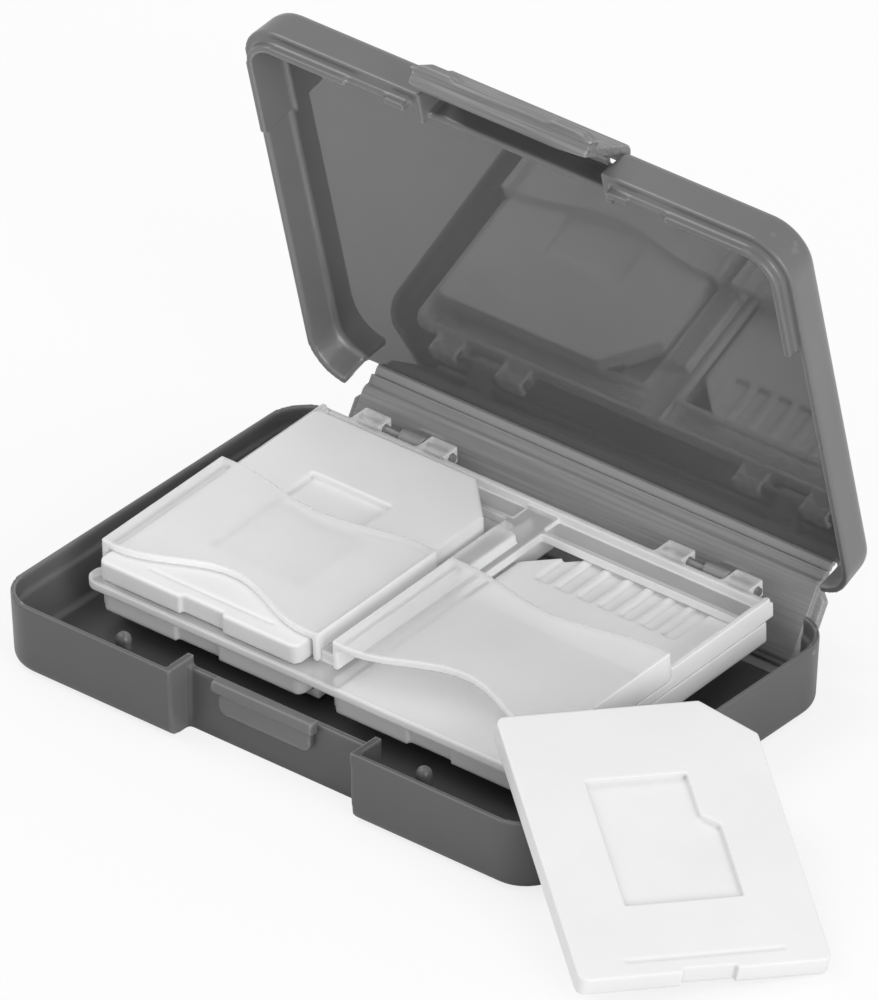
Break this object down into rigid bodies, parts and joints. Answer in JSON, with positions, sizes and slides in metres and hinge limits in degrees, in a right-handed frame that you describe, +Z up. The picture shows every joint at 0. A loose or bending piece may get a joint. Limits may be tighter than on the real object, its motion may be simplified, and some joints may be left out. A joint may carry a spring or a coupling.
{
  "type": "memory card case",
  "caption": "Open hinged memory card case with a spine, a latch flap, a pivoting tray with clear sleeves, and card carriers with a recess.",
  "frame": {"origin": "centre of the base's flat underside", "axes": "+X along the hinge, to the right seen from the front, +Y to the rear, where the hinge is, +Z up"},
  "size_m": [0.0932, 0.0622, 0.0569],
  "materials": {
    "shell_plastic": "translucent smoke-grey moulded plastic, polished inside",
    "latch_plastic": "thin translucent grey moulded plastic",
    "film_plastic": "thin flexed hinge film, paler than the shell",
    "tray_plastic": "milky clear moulded plastic",
    "sleeve_plastic": "milky clear thin moulded plastic",
    "carrier_plastic": "opaque white moulded plastic, softly rounded"
  },
  "bodies": {
    "base": {"base_shell": "shell_plastic", "latch_catch": "latch_plastic", "base_hinge_film": "film_plastic"},
    "spine": {"spine_panel": "shell_plastic", "lid_hinge_film": "film_plastic", "pivot_rods": "shell_plastic"},
    "lid": {"lid_shell": "shell_plastic", "latch_hinge_film": "film_plastic"},
    "flap": {"latch_flap": "latch_plastic"},
    "tray": {"tray_frame": "tray_plastic", "sleeve_top_left": "sleeve_plastic", "sleeve_top_right": "sleeve_plastic", "sleeve_bottom_left": "sleeve_plastic", "sleeve_bottom_right": "sleeve_plastic"},
    "top_left_carrier": {"carrier_top_left": "carrier_plastic"},
    "bottom_left_carrier": {"carrier_bottom_left": "carrier_plastic"},
    "bottom_right_carrier": {"carrier_bottom_right": "carrier_plastic"},
    "loose_carrier": {"carrier_loose": "carrier_plastic"}
  },
  "joints": [
    {"name": "spine_hinge", "type": "hinge", "parent": "base", "child": "spine", "pos_m": [0, 0.0225, 0.0005], "axis": [-1, 0, 0], "range_deg": [-30.9, 24.1]},
    {"name": "lid_hinge", "type": "hinge", "parent": "spine", "child": "lid", "pos_m": [0, 0.0281, 0.00985], "axis": [-1, 0, 0], "range_deg": [-45.3, 64.7]},
    {"name": "latch_hinge", "type": "hinge", "parent": "lid", "child": "flap", "pos_m": [0, 0.01791, 0.05132], "axis": [-1, 0, 0], "range_deg": [-36, 54]},
    {"name": "tray_pivot", "type": "hinge", "parent": "spine", "child": "tray", "pos_m": [0, 0.02217, 0.00793], "axis": [-1, 0, 0], "range_deg": [-24.5, 31.3]},
    {"name": "top_left_slide", "type": "slide", "parent": "tray", "child": "top_left_carrier", "axis": [0, -0.9994, -0.0349], "range_m": [0, 0.0045]},
    {"name": "bottom_left_slide", "type": "slide", "parent": "tray", "child": "bottom_left_carrier", "axis": [0, -0.9994, -0.0349], "range_m": [0, 0.0045]},
    {"name": "bottom_right_slide", "type": "slide", "parent": "tray", "child": "bottom_right_carrier", "axis": [0, -0.9994, -0.0349], "range_m": [0, 0.0045]},
    {"name": "loose_carrier_slide", "type": "slide", "parent": "base", "child": "loose_carrier", "axis": [-0.8, 0.6, 0], "range_m": [-0.03, 0]}
  ],
  "couplings": [
    {"joint": "tray_pivot", "follows": "spine_hinge", "ratio": -1}
  ]
}
